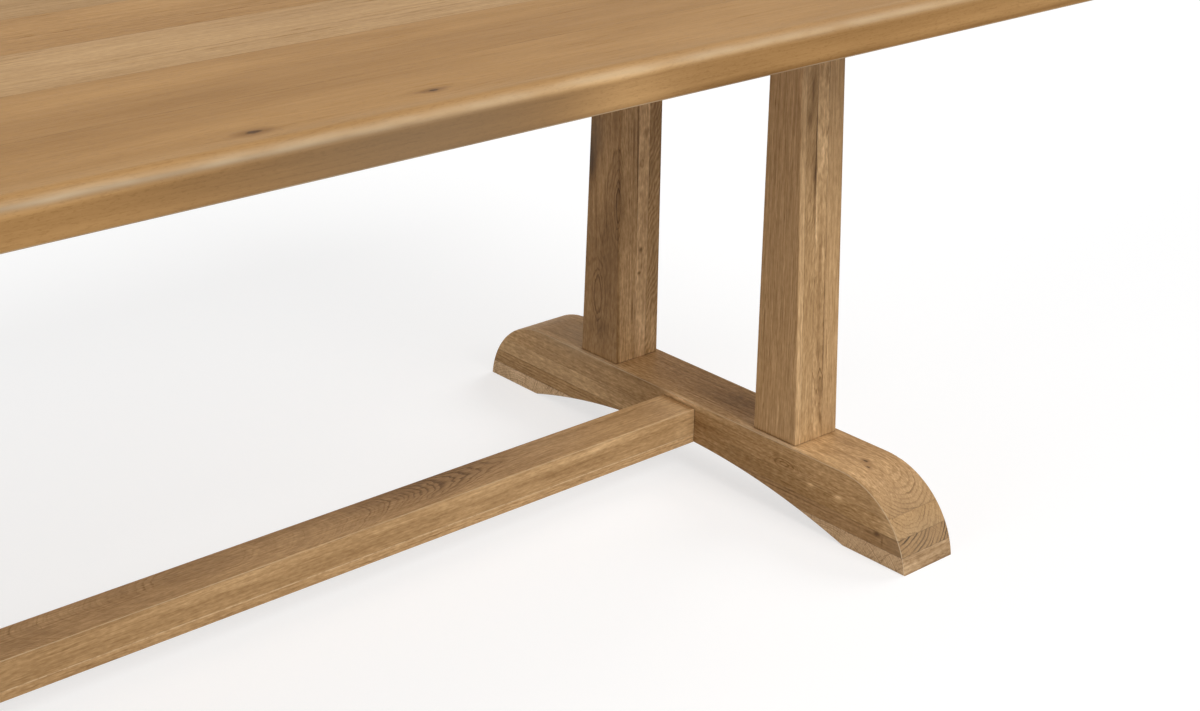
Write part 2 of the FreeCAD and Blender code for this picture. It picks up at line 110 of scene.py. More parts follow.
PORE_DULL = 0.2                  # what each layer does to the roughness
RAY_SHEEN = 0.06
STREAK_DULL = 0.15
RUB_SHEEN = 0.08
PORE_DROP = 0.7                  # and to the height of the bump
EARLY_DROP = 0.25
RAY_RISE = 0.1
BUMP_STRENGTH = 0.35
BUMP_DEPTH = 0.5 * MM

KNOT_LENGTHENED = 0.45           # a step along the grain counts for this much of one across
KNOT_RAGGED = 1.2                # how far a knot's rim strays, in radii
KNOT_PULL = 0.85                 # how much of the way the rings close in on it
KNOT_START = 0.5                 # where it starts to fade and is gone, in radii
KNOT_STOP = 1.2
HALO_STOP = 3.5
KNOT_SHOWN = 0.75                # how much a knot hides the wood
HALO_SHOWN = 0.45                # and how much the dark wood about it does
END_LINE_WIDTH = 1.6             # glue lines, in mm, at the ends of the grain
END_LINE_STRENGTH = 0.8
SIDE_LINE_WIDTH = 1.2            # and along the grain
GLUE_REACH = 0.6 * MM            # faces nearer than this touch
GLUED_SHARE = 0.4                # of a side, covered by its neighbours, for it to count as glued
FAR_AWAY = 10.0                  # where a side goes that has no glue line

# Boards that aren't picked out are cut by chance, within these. Lengths in mm.
CHANCE_HEART = (35.0, 95.0)      # from the board's centre to the tree's
CHANCE_ASIDE = 40.0
CHANCE_SLOPE = 14.0
CHANCE_RING = (2.8, 4.2)
CHANCE_TONES = ("biscuit", "honey", "tan")
CHANCE_SEED = 40.0


def linear(red, green, blue):
    """A colour as it is picked on a screen, 0 to 255, in the units that a shader takes."""
    def one(value):
        value /= 255
        return value / 12.92 if value <= 0.04045 else ((value + 0.055) / 1.055) ** 2.4
    return (one(red), one(green), one(blue), 1.0)


JOINT_DARK = linear(46, 31, 20)
JOINT_PALE = linear(232, 204, 164)
KNOT_DARK = linear(60, 40, 25)
KNOT_HALO = linear(116, 81, 49)
# Pale greyed wood: real wear, and also painted highlights on rounded edges and a painted sheen on
# some faces.
WEAR_AND_SHEEN = linear(206, 184, 152)
ZINC_GREY = linear(178, 181, 186)
ZINC_PALE = linear(206, 206, 200)
ZINC_ROUGHNESS = 0.32
ZINC_DULL = 0.2                  # what its clouds add to that


# ---- Node graphs ------------------------------------------------------------------
class Number:
    """A socket that carries a number, with ordinary arithmetic."""

    def __init__(self, graph, socket):
        self.graph = graph
        self.socket = socket

    def __add__(self, other):
        return self.graph.math("ADD", self, other)

    def __radd__(self, other):
        return self.graph.math("ADD", other, self)

    def __sub__(self, other):
        return self.graph.math("SUBTRACT", self, other)

    def __rsub__(self, other):
        return self.graph.math("SUBTRACT", other, self)

    def __mul__(self, other):
        return self.graph.math("MULTIPLY", self, other)

    def __truediv__(self, other):
        return self.graph.math("DIVIDE", self, other)


class Graph:
    """A node tree, of a material if one is given, that is filled by short calls."""

    def __init__(self, tree, material=None):
        self.tree = tree
        self.material = material

    def connect(self, value, socket):
        if isinstance(value, Number):
            value = value.socket
        if isinstance(value, bpy.types.NodeSocket):
            self.tree.links.new(value, socket)
        else:
            socket.default_value = value

    def add(self, kind, inputs=None, **settings):
        """A new node. inputs gives the value or socket that goes into each named input."""
        node = self.tree.nodes.new(kind)
        for name, value in settings.items():
            setattr(node, name, value)
        for name, value in (inputs or {}).items():
            self.connect(value, node.inputs[name])
        return node

    def finish(self, shader):
        """Puts the last shader node on the surface, and returns the material."""
        self.add("ShaderNodeOutputMaterial", {"Surface": shader.outputs[0]})
        return self.material

    def number(self, socket):
        return Number(self, socket)

    def math(self, operation, *values):
        node = self.add("ShaderNodeMath", dict(enumerate(values)), operation=operation)
        return self.number(node.outputs[0])

    def vector(self, x, y, z):
        return self.add("ShaderNodeCombineXYZ", {"X": x, "Y": y, "Z": z}).outputs[0]

    def split(self, vector):
        node = self.add("ShaderNodeSeparateXYZ", {"Vector": vector})
        return [self.number(socket) for socket in node.outputs]

    def vector_math(self, operation, *values):
        return self.add("ShaderNodeVectorMath", dict(enumerate(values)), operation=operation)

    def noise(self, x, y, z, detail=2.0, roughness=0.5):
        """Smooth noise about zero, within a half either way, with features about one unit long."""
        node = self.add("ShaderNodeTexNoise",
                        {"Vector": self.vector(x, y, z), "Scale": 1.0,
                         "Detail": detail, "Roughness": roughness})
        return self.number(node.outputs["Fac"]) - 0.5

    def layer(self, name, spot):
        """The noise of one layer, stretched along the grain."""
        x, y, z = spot
        along, across, detail, roughness = LAYERS[name]
        return self.noise(x * along, y * across, z * across, detail, roughness)

    def ramp(self, value, low, high):
        """0 at low and 1 at high, with a soft start and end."""
        node = self.add("ShaderNodeMapRange", {"Value": value, "From Min": low, "From Max": high},
                        interpolation_type="SMOOTHSTEP")
        return self.number(node.outputs["Result"])

    def mask(self, name, noise):
        """0 where a layer's noise doesn't count, and 1 where it does."""
        return self.ramp(noise, *MASKS[name])

    def share(self, mask, low, high=1.0):
        """A mask as a number that goes from low, where it is 0, to high, where it is 1."""
        return mask * (high - low) + low

    def blend(self, factor, first, second, kind="MIX"):
        """Two colours mixed."""
        node = self.add("ShaderNodeMix", data_type="RGBA", blend_type=kind)
        for name, value in (("Factor_Float", factor), ("A_Color", first), ("B_Color", second)):
            socket = next(s for s in node.inputs if s.identifier == name)
            self.connect(value, socket)
        return next(s for s in node.outputs if s.identifier == "Result_Color")


def new_material(name):
    """A graph for the shader of a new material."""
    material = bpy.data.materials.new(name)
    material.use_nodes = True
    material.node_tree.nodes.clear()
    return Graph(material.node_tree, material)


class Group(Graph):
    """A shader node group with named inputs and outputs."""

    KINDS = {float: "NodeSocketFloat", tuple: "NodeSocketColor", Vector: "NodeSocketVector"}

    def __init__(self, name, inputs, outputs):
        super().__init__(bpy.data.node_groups.new(name, "ShaderNodeTree"))
        face = self.tree.interface
        for label, value in inputs.items():
            kind = self.KINDS[type(value)]
            socket = face.new_socket(name=label, in_out="INPUT", socket_type=kind)
            socket.default_value = value
        for label, kind in outputs.items():
            face.new_socket(name=label, in_out="OUTPUT", socket_type=self.KINDS[kind])
        self.entry = self.tree.nodes.new("NodeGroupInput")
        self.exit = self.tree.nodes.new("NodeGroupOutput")

    def __getitem__(self, label):
        socket = self.entry.outputs[label]
        return self.number(socket) if socket.type == "VALUE" else socket

    def __setitem__(self, label, value):
        self.connect(value, self.exit.inputs[label])


# ---- The oak ------------------------------------------------------------------------
def build_knot_group():
    """Bends the grain round one knot, and masks the knot and the dark wood about it."""
    g = Group("knot",
              {"Position": Vector(), "Place": Vector(), "Axis": Vector((0, 0, 1)),
               "Radius": 0.008, "Reach": 0.05},
              {"Position": Vector, "Knot": float, "Halo": float})
    offset = g.vector_math("SUBTRACT", g["Position"], g["Place"]).outputs[0]
    stretched = g.vector_math("MULTIPLY", offset, (KNOT_LENGTHENED, 1.0, 1.0)).outputs[0]
    aside = g.vector_math("CROSS_PRODUCT", stretched, g["Axis"]).outputs[0]
    distance = g.number(g.vector_math("LENGTH", aside).outputs["Value"])
    fray = g.layer("knot", g.split(offset))
    ragged = distance + fray * KNOT_RAGGED * g["Radius"]
    pull = g.math("EXPONENT", distance * distance / (g["Reach"] * g["Reach"]) * -1.0)
    px, py, pz = g.split(g["Position"])
    keep = 1.0 - pull * KNOT_PULL
    cx, cy, cz = g.split(g["Place"])
    g["Position"] = g.vector(px, cy + (py - cy) * keep, cz + (pz - cz) * keep)
    g["Knot"] = 1.0 - g.ramp(ragged, g["Radius"] * KNOT_START, g["Radius"] * KNOT_STOP)
    g["Halo"] = 1.0 - g.ramp(ragged, g["Radius"], g["Radius"] * HALO_STOP)
    return g.tree


def build_mark_group():
    """A swelling of the growth rings, which a cut face shows as nested loops, and a darker or paler
    patch: a real stain on some boards, painted shade or painted light on many.

    Contrast is how much more plainly the rings show there, and the greying input how much the wood
    is paled and greyed, by wear and, on many marks, as a painted sheen.
    """
    g = Group("mark",
              {"Position": Vector(), "Place": Vector(), "Size": Vector((0.1, 0.02, 0.02)),
               "Rise": 0.0, "Stain And Shade": 0.0, "Contrast": 0.0, "Wear And Sheen": 0.0, "Ragged": 2.2},
              {"Lift": float, "Stain And Shade": float, "Contrast": float, "Wear And Sheen": float})
    offset = g.vector_math("SUBTRACT", g["Position"], g["Place"]).outputs[0]
    spread = g.vector_math("DIVIDE", offset, g["Size"]).outputs[0]
    away = g.number(g.vector_math("DOT_PRODUCT", spread, spread).outputs["Value"])
    fray = g.layer("mark", g.split(g["Position"])) * g["Ragged"]
    ragged = g.math("MAXIMUM", away + fray, 0.0)
    within = g.math("EXPONENT", away * -1.0)
    g["Lift"] = within * g["Rise"]
    g["Contrast"] = within * g["Contrast"]
    g["Wear And Sheen"] = within * g["Wear And Sheen"]
    g["Stain And Shade"] = g.math("EXPONENT", ragged * -1.0) * g["Stain And Shade"]
    return g.tree


def build_joint_group():
    """A mask for the last of a board along its covered sides, broken here and there."""
    g = Group("joint_line",
              {"Position": Vector(), "Low": Vector(), "High": Vector(), "Width": 0.0012},
              {"Line": float})
    above = g.vector_math("SUBTRACT", g["Position"], g["Low"]).outputs[0]
    below = g.vector_math("SUBTRACT", g["High"], g["Position"]).outputs[0]
    x, y, z = g.split(g.vector_math("MINIMUM", above, below).outputs[0])
    whole = g.mask("joint", g.layer("joint", g.split(g["Position"])))
    line = 1.0 - g.ramp(g.math("MINIMUM", x, g.math("MINIMUM", y, z)), 0.0, g["Width"])
    g["Line"] = line * g.share(whole, LEAST_LINE)
    return g.tree


def build_oak_group():
    """Oak as a solid. Position has the grain along X and the heart of the tree at Y = Z = 0."""
    g = Group("solid_oak",
              {"Position": Vector(), "Normal": Vector((0, 0, 1)), "Side": Vector((0, 1, 0)),
               "Seed": 0.0, "Lift": 0.0, "Contrast": 0.0, "Wear And Sheen": 0.0, "Wood": linear(166, 132, 90),
               "Ring Width": 0.0034, "Ring Depth": 0.50,
               "Figure": 0.7, "Wander": 0.012, "Warp": 0.006, "Shake": 0.007, "Streaks": 0.6,
               "Dashes": 1.0, "Fibre": 0.8, "Pore Depth": 0.4, "Ray Depth": 0.14, "Curl": 0.0,
               "Curl Lean": 0.0, "Curl Pitch": 0.010, "Blotch": 0.7, "Stain And Shade": 0.0, "Arris": 0.28,
               "End Rings": 2.0, "Rays": 105.0, "Satin": 0.54},
              {"Color": tuple, "Roughness": float, "Height": float})
    x, y, z = g.split(g["Position"])
    seed = g["Seed"]
    spot = [value + seed * step for value, step in zip((x, y, z), SEED_STEPS)]
    along, _, up = spot

    # How far from the tree's centre, with the centre and the rings bent.
    side_y, side_z = (value + g.noise(along * HEART_BENDS, seed, row, detail=1.0) * g["Wander"]
                      for value, row in ((y, 0.0), (z, 9.0)))
    radius = g.math("SQRT", side_y * side_y + side_z * side_z) + g["Lift"]
    radius = radius + g.layer("warp", spot) * g["Warp"]
    radius = radius + g.layer("shake", spot) * g["Shake"]

    # Which ring, and how much of its porous early wood is here.
    count = radius / g["Ring Width"]
    count = count + g.noise(count * UNEVEN_RATE, seed, 3.0, detail=1.0) * UNEVEN_RINGS
    part = g.math("FRACT", count)
    ring = g.vector(g.math("FLOOR", count), seed, 0.0)
    year = g.number(g.add("ShaderNodeTexWhiteNoise", {"Vector": ring}).outputs["Value"])
    clear = g.share(g.mask("clear", g.layer("clear", spot)), LEAST_CLEAR)
    shown = g.math("MAXIMUM", clear * (year * year + FAINTEST_RING), g["Contrast"] * MARKED_RING)
    early = g.ramp(part, *EARLY_START) * (1.0 - g.ramp(part, *EARLY_STOP)) * shown
    figure = g.noise(count * FIGURE_RATE, along * FIGURE_BENDS, seed,
                     FIGURE_DETAIL, FIGURE_ROUGHNESS)

    # Which way the face looks.
    facing = g.number(g.vector_math("DOT_PRODUCT", g["Normal"], (1.0, 0.0, 0.0)).outputs["Value"])
    end = g.ramp(g.math("ABSOLUTE", facing), *END_GRAIN)
    side = g.number(g.vector_math("DOT_PRODUCT", g["Normal"], g["Side"]).outputs["Value"])

    fibre, streak, dash, blotch = (g.layer(name, spot)
                                   for name in ("fibre", "streak", "dash", "blotch"))
    pores = g.mask("pores", g.layer("pores", spot)) * g.share(early, *PORE_SHARE)
    angle = g.math("ARCTAN2", side_z, side_y)
    rays = g.mask("rays", g.noise(along * RAY_LENGTH, radius * RAY_DEPTH, angle * g["Rays"]))
    slant = (along + up * g["Curl Lean"]) / g["Curl Pitch"]
    bent = slant + g.layer("bend", spot) * BEND_STRENGTH
    strong = g.mask("strong", g.layer("strong", spot))
    curl = g.math("SINE", bent * math.tau) * g.share(strong, LEAST_CURL)
    # The paling of rounded edges: real wear, and a painted highlight that peaks part-way round each
    # edge.
    square = side * side
    rub_and_highlight = square * square * square * g.math("MAXIMUM", 1.0 - square, 0.0) * RUB_AND_HIGHLIGHT_PEAK
    rub_and_highlight = rub_and_highlight * g.share(strong, *RUB_AND_HIGHLIGHT_SHARE)

    # All layers add up to how deep the colour is.
    ringed = g["Ring Depth"] * (g.share(end, 1.0, g["End Rings"]) + g["Contrast"])
    depth = (early - EARLY_MEAN) * ringed + (pores - PORE_MEAN) * g["Pore Depth"]
    depth = depth + figure * g["Figure"] + streak * g["Streaks"]
    depth = depth + dash * (1.0 - end * END_DASH_LOSS) * g["Dashes"]
    depth = depth + fibre * g["Fibre"] + blotch * g["Blotch"] + curl * g["Curl"] + g["Stain And Shade"]
    depth = depth + (rays - RAY_MEAN) * g["Ray Depth"] * (end + 1.0)
    red, green, blue = (g.math("EXPONENT", depth * -rate) for rate in DARKENING)
    grained = g.blend(1.0, g["Wood"], g.vector(red, green, blue), kind="MULTIPLY")
    # Rounded edges and greying marks blend towards the pale grey: wear, painted highlights and
    # painted sheen.
    g["Color"] = g.blend(rub_and_highlight * g["Arris"] + g["Wear And Sheen"], grained, WEAR_AND_SHEEN)
    g["Roughness"] = (g["Satin"] + pores * PORE_DULL - rays * RAY_SHEEN
                      + streak * STREAK_DULL - rub_and_highlight * RUB_SHEEN)
    g["Height"] = 0.0 - pores * PORE_DROP - early * EARLY_DROP + rays * RAY_RISE
    return g.tree


GROUPS = {"knot": build_knot_group(), "mark": build_mark_group(),
          "joint": build_joint_group(), "oak": build_oak_group()}

GRAIN_TURN = {"X": Euler((0, 0, 0)),
              "Y": Euler((0, 0, -math.pi / 2)),
              "Z": Euler((0, math.pi / 2, 0))}


@dataclass
class Mark:
    """A patch where a board's grain swells, or is darkened, or paled if below 0: some are real
    stains, many are painted shade or painted light. In mm.
    """
    place: tuple
    size: tuple                          # half-widths, in the part's own axes
    # darker, or paler below 0: a real stain on some marks, painted shade or painted light on many
    stain_and_shade: float = 0.0
    rise: float = 0.0
    contrast: float = 0.0
    ragged: float = 2.2
    # how far the patch is paled and greyed: wear on some marks, a painted sheen or painted light on
    # many
    wear_and_sheen: float = 0.0


@dataclass
class Board:
    """How one board was cut from its tree. Lengths in mm, in the part's own axes.

    The values are inputs of the oak, and lengths among them are in metres.
    """
    tone: str = "biscuit"
    heart: tuple = (0.0, 0.0, -70.0)     # the tree's centre, from the board's own centre
    slope: tuple = (0.0, 0.0)            # how the grain leans against the board, mm in a metre
    ring: float = 3.4
    seed: float = 1.0
    values: dict = field(default_factory=dict)
    knots: tuple = ()                    # (place, radius, reach) of each
    marks: tuple = ()
    pale_joint: bool = False
    joint: float = 0.45                  # how plain the glue lines along its sides are
    gloss: float = 0.2                   # how strong its sheen is


def place_group(g, group, values):
    """A group's node in a material, with its inputs set or joined."""
    node = g.add("ShaderNodeGroup", node_tree=GROUPS[group])
    for label, value in values.items():
        g.connect(value, node.inputs[label])
    return node


def tree_place(node, board):
    """The turn and shift that take a place on the part to one in the board's own tree."""
    low, high = (Vector(corner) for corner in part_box(node))
    lean = Euler((0.0, board.slope[0] * MM, board.slope[1] * MM)).to_matrix()
    turn = lean @ GRAIN_TURN[grain_of(node)].to_matrix()
    return turn, -(turn @ ((low + high) / 2 + Vector(board.heart) * MM))


def add_marks(g, node, board, position, in_tree):
    """What all of a board's marks add to the inputs of its oak."""
    marked = {"Lift": 0.0, "Stain And Shade": 0.0, "Contrast": 0.0, "Wear And Sheen": 0.0}
    for mark in board.marks:
        patch = place_group(g, "mark", {"Position": position, "Place": in_tree(mark.place),
                                        "Size": along_grain(node, mark.size) * MM,
                                        "Rise": mark.rise * MM, "Stain And Shade": mark.stain_and_shade,
                                        "Contrast": mark.contrast, "Wear And Sheen": mark.wear_and_sheen,
                                        "Ragged": mark.ragged})
        for label in marked:
            marked[label] = marked[label] + g.number(patch.outputs[label])
    return marked


def add_knots(g, board, position, in_tree):
    """The position with the grain bent round each knot, and the masks of knots and halos."""
    masks = []
    for spot, radius, reach in board.knots:
        place = in_tree(spot)
        axis = Vector((0, place.y, place.z)).normalized()
        knot = place_group(g, "knot", {"Position": position, "Place": place, "Axis": axis,
                                       "Radius": radius * MM, "Reach": reach * MM})
        position = knot.outputs["Position"]
        masks.append([g.number(knot.outputs[label]) for label in ("Knot", "Halo")])
    return position, masks


def add_joint_lines(g, node, board, place, colour):
    """A board's colour with the glue lines over it."""
    grain_axis = "XYZ".index(grain_of(node))
    side_axes = [axis for axis in range(3) if axis != grain_axis]
    side_tone = JOINT_PALE if board.pale_joint else JOINT_DARK
    for axes, width, strength, tone in (
            ([grain_axis], END_LINE_WIDTH, END_LINE_STRENGTH, JOINT_DARK),
            (side_axes, SIDE_LINE_WIDTH, board.joint, side_tone)):
        low, high = covered_sides(node, axes)
        line = place_group(g, "joint", {"Position": place, "Low": low, "High": high,
                                        "Width": width * MM})
        colour = g.blend(g.number(line.outputs["Line"]) * strength, colour, tone)
    return colour


def board_material(node):
    """Satin oiled oak for one board."""
    board = BOARDS[node] if node in BOARDS else plain_board(node)
    g = new_material(node + "_oak")
    turn, shift = tree_place(node, board)
    angles = turn.to_euler()
    surface = g.add("ShaderNodeTexCoord")
    place = surface.outputs["Object"]
    position = g.add("ShaderNodeMapping",
                     {"Vector": place, "Location": shift, "Rotation": angles}).outputs[0]
    normal = g.add("ShaderNodeMapping",
                   {"Vector": surface.outputs["Normal"], "Rotation": angles},
                   vector_type="VECTOR").outputs[0]

    def in_tree(spot):
        return turn @ Vector(spot) * MM + shift

    marked = add_marks(g, node, board, position, in_tree)
    position, masks = add_knots(g, board, position, in_tree)
    oak = place_group(g, "oak", {"Position": position, "Normal": normal,
                                 "Side": turn @ side_of(node), "Seed": board.seed,
                                 "Ring Width": board.ring * MM, "Wood": linear(*TONES[board.tone]),
                                 **marked, **board.values})
    colour = oak.outputs["Color"]
    for knot, halo in masks:
        colour = g.blend(halo * HALO_SHOWN, colour, KNOT_HALO)
        colour = g.blend(knot * KNOT_SHOWN, colour, KNOT_DARK)
    colour = add_joint_lines(g, node, board, place, colour)
    bump = g.add("ShaderNodeBump", {"Strength": BUMP_STRENGTH, "Distance": BUMP_DEPTH,
                                    "Height": oak.outputs["Height"]})
    return g.finish(g.add("ShaderNodeBsdfPrincipled",
                          {"Base Color": colour, "Roughness": oak.outputs["Roughness"],
                           "Normal": bump.outputs[0], "Specular IOR Level": board.gloss}))


# ---- Boards -----------------------------------------------------------------------
def grain_of(node):
    """The part's axis that a board's grain runs along."""
    if "foot_pad" in node or node.startswith(("top_board", "stretcher")):
        return "X"
    return "Z" if "_post_" in node else "Y"


def side_of(node):
    """The way that a board's rounded edges, paled by wear and a painted highlight, turn away from.
    """
    lengthwise = node.startswith(("stretcher", "top_board"))
    return Vector((0, 1, 0)) if lengthwise else Vector((1, 0, 0))


def is_wood(node):
    """Whether a node is oak. The others are fasteners."""
    return "board" in node or node.endswith("_pad") or "dowels" in node


def along_grain(node, size):
    """A size in the part's axes as a size along and across the grain."""
    return Vector(abs(part) for part in GRAIN_TURN[grain_of(node)].to_matrix() @ Vector(size))


def covered_sides(node, axes):
    """A board's box, with each side that other boards don't cover, or off these axes, far away."""
    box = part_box(node)
    sides = [list(corner) for corner in box]        # low corner, high corner
    others = [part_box(other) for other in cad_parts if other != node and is_wood(other)]
    for end, axis in itertools.product((0, 1), range(3)):
        rest = [a for a in range(3) if a != axis]
        covered = 0.0
        for other in others:
            if abs(other[1 - end][axis] - box[end][axis]) < GLUE_REACH:
                shared = [min(box[1][a], other[1][a]) - max(box[0][a], other[0][a]) for a in rest]
                covered += max(shared[0], 0.0) * max(shared[1], 0.0)
        face = math.prod(box[1][a] - box[0][a] for a in rest)
        if axis not in axes or covered < face * GLUED_SHARE:
            sides[end][axis] += FAR_AWAY * (1 if end else -1)
    return Vector(sides[0]), Vector(sides[1])


def plain_board(node):
    """A board with its own chance cut, for every board that isn't picked out below."""
    dice = random.Random(node)
    grain = grain_of(node)
    reach = dice.uniform(*CHANCE_HEART) * dice.choice((-1, 1))
    aside = dice.uniform(-CHANCE_ASIDE, CHANCE_ASIDE)
    heart = {"X": (0.0, aside, reach), "Y": (aside, 0.0, reach), "Z": (reach, aside, 0.0)}[grain]
    slope = tuple(dice.uniform(-CHANCE_SLOPE, CHANCE_SLOPE) for _ in range(2))
    return Board(heart=heart, slope=slope, ring=dice.uniform(*CHANCE_RING),
                 tone=dice.choice(CHANCE_TONES), seed=dice.uniform(0.0, CHANCE_SEED))


# ---- Steel --------------------------------------------------------------------------
def steel_material():
    """Bright zinc plate, a little cloudy."""
    g = new_material("zinc_plated_steel")
    cloud = g.layer("zinc", g.split(g.add("ShaderNodeTexCoord").outputs["Object"]))
    colour = g.blend(g.mask("zinc", cloud), ZINC_GREY, ZINC_PALE)
    return g.finish(g.add("ShaderNodeBsdfPrincipled",
                          {"Base Color": colour, "Metallic": 1.0,
                           "Roughness": ZINC_ROUGHNESS + cloud * ZINC_DULL}))


def dress_nodes():
    """Every node gets its own oak, or the fasteners' steel, in the slots that it has."""
    steel = steel_material()
    for node, item in sorted(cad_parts.items()):
        material = board_material(node) if is_wood(node) else steel
        for slot in item.material_slots:
            slot.material = material


# ---- Room, lamps and camera -----------------------------------------------------------
def make_floor():
    """A pale floor that keeps the table's shadow. From below it is clear glass to the camera."""
    mesh = bpy.data.meshes.new("floor")
    square = ((-1, -1), (1, -1), (1, 1), (-1, 1))
    corners = [(x * FLOOR_HALF, y * FLOOR_HALF, 0.0) for x, y in square]
    mesh.from_pydata(corners, [], [(0, 1, 2, 3)])
    floor = bpy.data.objects.new("floor", mesh)
    bpy.context.scene.collection.objects.link(floor)
    g = new_material("pale_floor")
    seen = seen_directly(g)
    shade = FLOOR_SHADE - seen * (FLOOR_SHADE - FLOOR_SEEN_SHADE)
    plain = g.add("ShaderNodeBsdfDiffuse", {"Color": g.vector(shade, shade, shade)})
    glow = g.add("ShaderNodeEmission", {"Color": WHITE, "Strength": seen * FLOOR_GLOW})
    lit = g.add("ShaderNodeAddShader", {0: plain.outputs[0], 1: glow.outputs[0]})
    below = g.number(g.add("ShaderNodeNewGeometry").outputs["Backfacing"]) * seen
    clear = g.add("ShaderNodeBsdfTransparent")
    g.finish(g.add("ShaderNodeMixShader", {0: below, 1: lit.outputs[0], 2: clear.outputs[0]}))
    mesh.materials.append(g.material)


def seen_directly(g):
    """1 for a ray from the camera, or one that a gloss or a glass passes on."""
    path = g.add("ShaderNodeLightPath")
    seen = g.number(path.outputs["Is Camera Ray"])
    for label in ("Is Glossy Ray", "Is Transmission Ray"):
        seen = g.math("MAXIMUM", seen, g.number(path.outputs[label]))
    return seen


def make_world():
    """A soft grey dome that looks white to the camera."""
    world = bpy.data.worlds.new("studio")
    bpy.context.scene.world = world
    world.use_nodes = True
    g = Graph(world.node_tree)
    g.tree.nodes.clear()
    level = DOME_LEVEL + seen_directly(g) * (1.0 - DOME_LEVEL)
    back = g.add("ShaderNodeBackground", {"Color": WHITE, "Strength": level})
    g.add("ShaderNodeOutputWorld", {"Surface": back.outputs[0]})


def make_lamp(name, around, height, level):
    """A large soft light, far away. Level is the shade it gives to a white card facing it."""
    data = bpy.data.lights.new(name, "SUN")
    data.angle = LAMP_SOFTNESS
    data.energy = level * math.pi
    lamp = bpy.data.objects.new(name, data)
    bpy.context.scene.collection.objects.link(lamp)
    turn, lift = math.radians(around), math.radians(height)
    towards = Vector((math.sin(turn) * math.cos(lift), -math.cos(turn) * math.cos(lift),
                      math.sin(lift)))
    lamp.rotation_euler = towards.to_track_quat("Z", "Y").to_euler()


def make_camera():
    """The camera, from its place, heading, dip and roll."""
    forward = Vector((math.cos(CAMERA_HEADING) * math.cos(CAMERA_DIP),
                      math.sin(CAMERA_HEADING) * math.cos(CAMERA_DIP), -math.sin(CAMERA_DIP)))
    level_right = forward.cross(Vector((0, 0, 1))).normalized()
    level_up = level_right.cross(forward)
    right = level_right * math.cos(CAMERA_ROLL) + level_up * math.sin(CAMERA_ROLL)
    up = level_up * math.cos(CAMERA_ROLL) - level_right * math.sin(CAMERA_ROLL)
    turn = Matrix((right, up, -forward)).transposed()
    data = bpy.data.cameras.new("camera")
    data.sensor_fit = "HORIZONTAL"
    data.sensor_width = CAMERA_SENSOR
    data.lens = CAMERA_LENS
    data.clip_start = CAMERA_NEAR
    data.clip_end = CAMERA_FAR
    camera = bpy.data.objects.new("camera", data)
    bpy.context.scene.collection.objects.link(camera)
    camera.matrix_world = Matrix.Translation(CAMERA_PLACE) @ turn.to_4x4()
    bpy.context.scene.camera = camera
